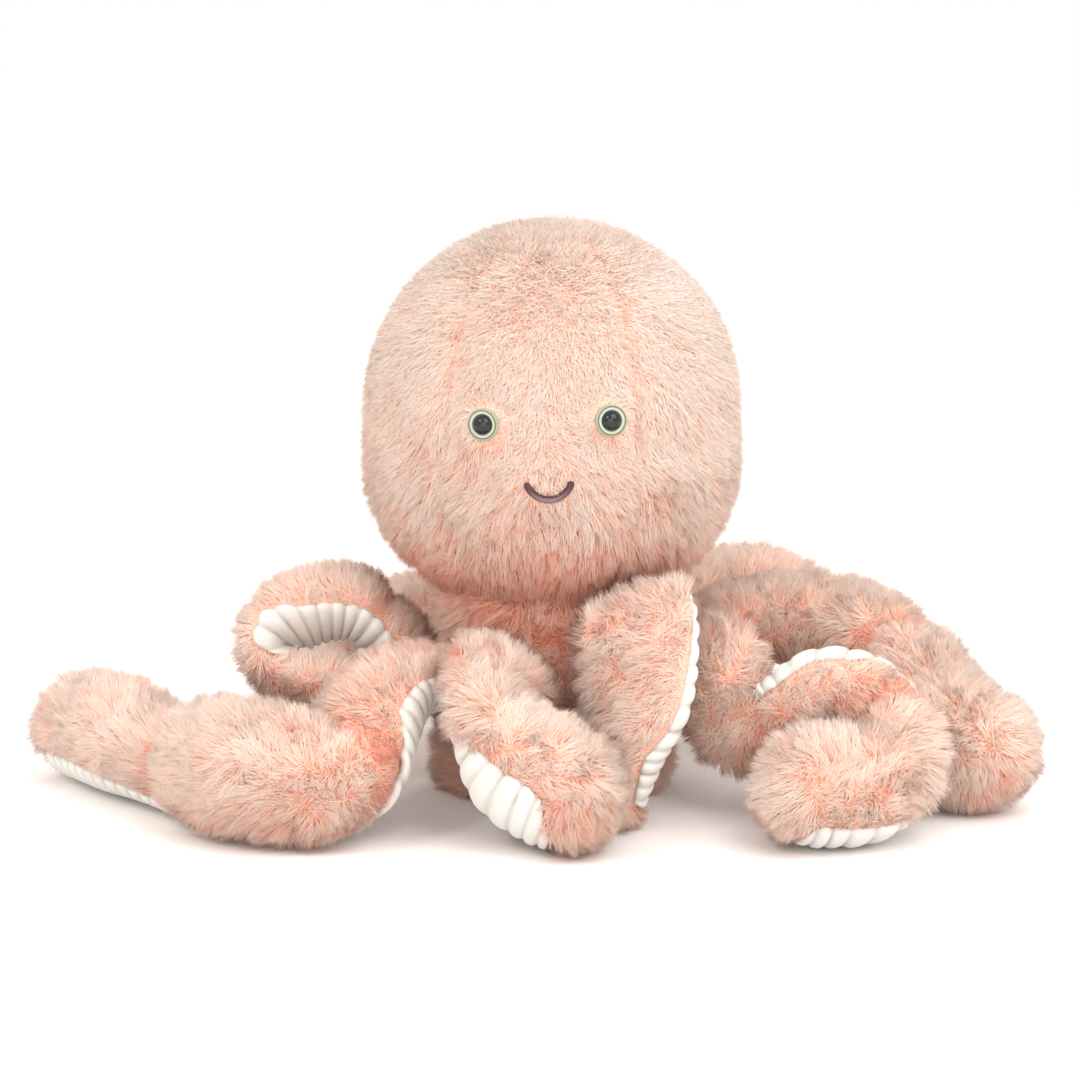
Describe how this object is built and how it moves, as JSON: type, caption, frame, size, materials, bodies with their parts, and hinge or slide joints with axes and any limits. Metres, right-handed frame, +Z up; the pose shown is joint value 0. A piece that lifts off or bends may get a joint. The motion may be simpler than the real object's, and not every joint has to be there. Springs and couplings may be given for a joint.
{
  "type": "plush octopus",
  "caption": "Stuffed toy octopus with a round gored head, a short skirt-shaped body and curling arms that have corded undersides.",
  "frame": {"origin": "centre of the flat base disc, on the plane that the toy stands on", "axes": "+Z up, the face looks along -Y, +X to the right of a person who looks at the face"},
  "size_m": [0.3764, 0.3022, 0.2156],
  "materials": {
    "fur": "short peach-pink plush pile, salmon at its roots",
    "cord": "cream corduroy with ribs across the arm",
    "felt": "pale mint felt",
    "button": "glossy black",
    "thread": "plum embroidery thread, satin stitch"
  },
  "bodies": {
    "body": {"body_skirt": "fur", "base_disc": "cord"},
    "head": {"head": "fur", "eye_ring_left": "felt", "eye_ring_right": "felt", "eye_button_left": "button", "eye_button_right": "button", "smile": "thread"},
    "arm_left": {"arm_left": "fur", "sole_left": "cord"},
    "arm_left_front": {"arm_left_front": "fur", "sole_left_front": "cord"},
    "arm_front_left": {"arm_front_left": "fur", "sole_front_left": "cord"},
    "arm_front_right": {"arm_front_right": "fur", "sole_front_right": "cord"},
    "arm_right_front": {"arm_right_front": "fur", "sole_right_front": "cord"},
    "arm_right": {"arm_right": "fur", "sole_right": "cord"},
    "arm_back_right": {"arm_back_right": "fur", "sole_back_right": "cord"},
    "arm_back_left": {"arm_back_left": "fur", "sole_back_left": "cord"}
  },
  "joints": [
    {"name": "head_turn", "type": "hinge", "parent": "body", "child": "head", "pos_m": [0, 0, 0.0708], "axis": [0, 0, 1], "range_deg": [-30, 30], "stiffness_Nm_per_rad": 0.05},
    {"name": "arm_left_lift", "type": "hinge", "parent": "body", "child": "arm_left", "pos_m": [-0.04273, 0.006, 0.04], "axis": [0.1392, 0.9903, 0], "range_deg": [-20, 5], "stiffness_Nm_per_rad": 0.05},
    {"name": "arm_left_front_lift", "type": "hinge", "parent": "body", "child": "arm_left_front", "pos_m": [-0.03446, -0.02597, 0.04], "axis": [-0.6018, 0.7986, 0], "range_deg": [-35, 5], "stiffness_Nm_per_rad": 0.05},
    {"name": "arm_front_left_lift", "type": "hinge", "parent": "body", "child": "arm_front_left", "pos_m": [-0.006, -0.04273, 0.04], "axis": [-0.9903, 0.1392, 0], "range_deg": [-12, 5], "stiffness_Nm_per_rad": 0.05},
    {"name": "arm_front_right_lift", "type": "hinge", "parent": "body", "child": "arm_front_right", "pos_m": [0.02597, -0.03446, 0.04], "axis": [-0.7986, -0.6018, 0], "range_deg": [-20, 2], "stiffness_Nm_per_rad": 0.05},
    {"name": "arm_right_front_lift", "type": "hinge", "parent": "body", "child": "arm_right_front", "pos_m": [0.04273, -0.006, 0.04], "axis": [-0.1392, -0.9903, 0], "range_deg": [-35, 5], "stiffness_Nm_per_rad": 0.05},
    {"name": "arm_right_lift", "type": "hinge", "parent": "body", "child": "arm_right", "pos_m": [0.03446, 0.02597, 0.04], "axis": [0.6018, -0.7986, 0], "range_deg": [-25, 5], "stiffness_Nm_per_rad": 0.05},
    {"name": "arm_back_right_lift", "type": "hinge", "parent": "body", "child": "arm_back_right", "pos_m": [0.006, 0.04273, 0.04], "axis": [0.9903, -0.1392, 0], "range_deg": [-15, 8], "stiffness_Nm_per_rad": 0.05},
    {"name": "arm_back_left_lift", "type": "hinge", "parent": "body", "child": "arm_back_left", "pos_m": [-0.02597, 0.03446, 0.04], "axis": [0.7986, 0.6018, 0], "range_deg": [-35, 10], "stiffness_Nm_per_rad": 0.05}
  ]
}
